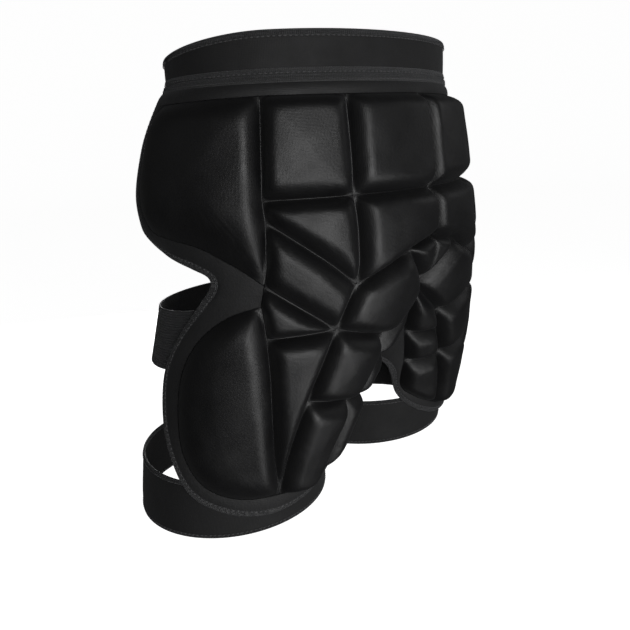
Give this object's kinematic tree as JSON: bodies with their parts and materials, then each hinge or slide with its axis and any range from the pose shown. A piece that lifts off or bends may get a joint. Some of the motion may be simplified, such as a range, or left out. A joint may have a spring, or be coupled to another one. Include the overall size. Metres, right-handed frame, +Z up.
{
  "type": "hip pad",
  "caption": "Padded hip and seat guard for sport: a moulded foam shell with raised cells, hung from a soft waist band and strapped to both thighs.",
  "frame": {"origin": "middle of the waist opening, level with the middle of the waist band behind", "axes": "+Z up, the wearer's front faces -Y, the wearer's left side is +X"},
  "size_m": [0.3668, 0.2458, 0.3806],
  "materials": {
    "shell_cloth": "satin",
    "band_cloth": "matt",
    "binding": "matt",
    "ribbed_tape": "matt"
  },
  "bodies": {
    "root": {"pad_shell": "shell_cloth", "edge_binding": "binding", "waist_band": "band_cloth", "waist_binding": "binding", "waist_tape": "ribbed_tape", "waist_tab": "band_cloth", "upper_strap_left": "ribbed_tape", "lower_strap_left": "band_cloth", "strap_top_binding_left": "binding", "strap_foot_binding_left": "binding", "upper_strap_right": "ribbed_tape", "lower_strap_right": "band_cloth", "strap_top_binding_right": "binding", "strap_foot_binding_right": "binding"}
  },
  "joints": []
}
